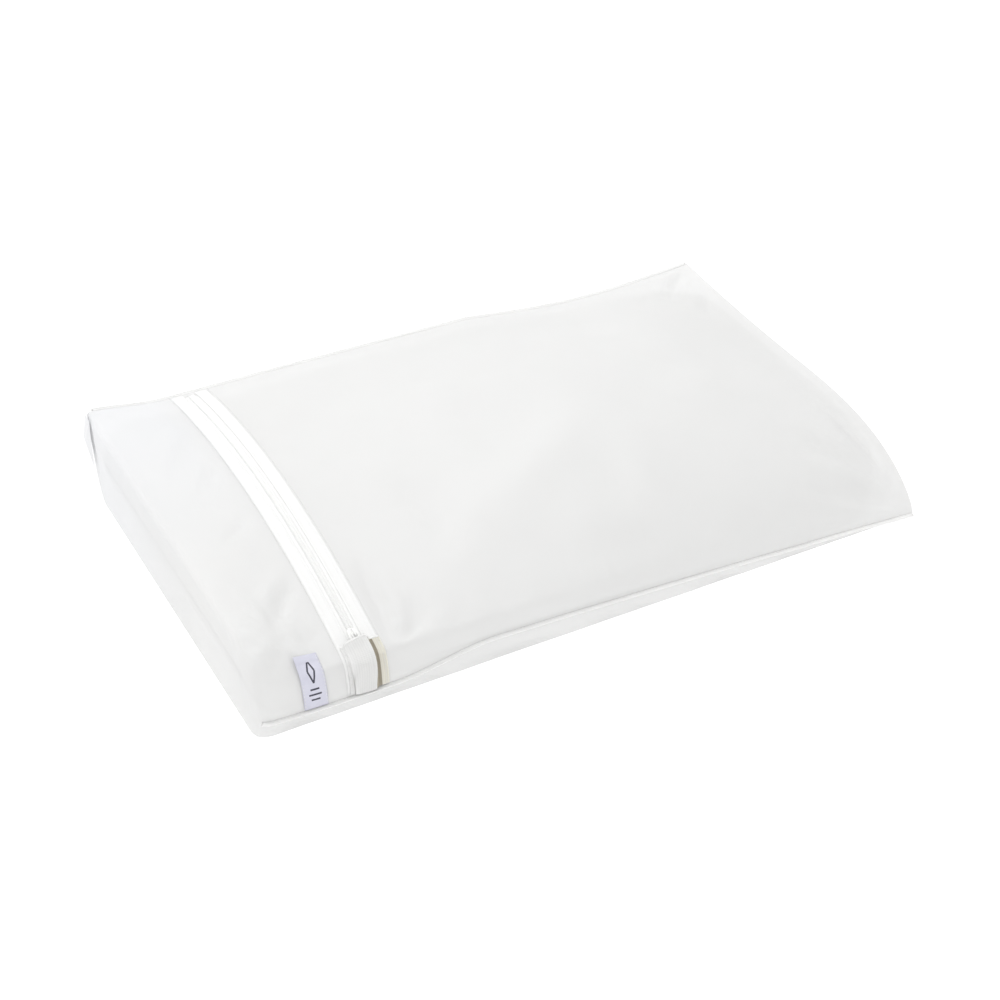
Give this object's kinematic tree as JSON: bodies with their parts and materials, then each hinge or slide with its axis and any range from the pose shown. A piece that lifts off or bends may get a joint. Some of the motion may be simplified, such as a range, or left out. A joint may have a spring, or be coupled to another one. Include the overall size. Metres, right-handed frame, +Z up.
{
  "type": "bed pillow in a zipped voile bag",
  "caption": "Plump rectangular bed pillow inside a sheer white voile bag, with a zip across one end, an elastic garage over its slider and a sewn label.",
  "frame": {"origin": "on the floor under the middle of the bag", "axes": "+X along the bag, away from the zip; +Y across the bag, away from the seam with the label; +Z up"},
  "size_m": [0.6, 0.3696, 0.1118],
  "materials": {
    "voile": "sheer fine polyester voile",
    "binding": "folded and stitched voile",
    "zipper_tape": "woven polyester tape",
    "zipper_coil": "wound nylon coil",
    "white_enamel": "white enamel on zinc",
    "elastic": "ribbed woven elastic",
    "label": "woven label",
    "ticking": "plain white microfibre",
    "fibre": "loose hollow-fibre filling"
  },
  "bodies": {
    "bag": {"voile_cover": "voile", "front_seam_binding": "binding", "back_seam_binding": "binding", "zipper_tape_left": "zipper_tape", "zipper_tape_right": "zipper_tape", "zipper_coil_left": "zipper_coil", "zipper_coil_right": "zipper_coil", "garage_elastic": "elastic", "woven_label": "label", "ticking_top": "ticking", "ticking_bottom": "ticking", "fibre_fill": "fibre"},
    "slider": {"zipper_slider": "white_enamel"},
    "pull": {"pull_tab": "white_enamel"}
  },
  "joints": [
    {"name": "zip_travel", "type": "hinge", "parent": "bag", "child": "slider", "pos_m": [-0.2095, 0.05145, -0.52306], "axis": [-1, 0, 0], "range_deg": [0, 30.1]},
    {"name": "pull_flip", "type": "hinge", "parent": "slider", "child": "pull", "pos_m": [-0.2095, -0.15942, 0.05581], "axis": [-1, 0, 0], "range_deg": [0, 165], "deforming": ["garage_elastic"]}
  ]
}
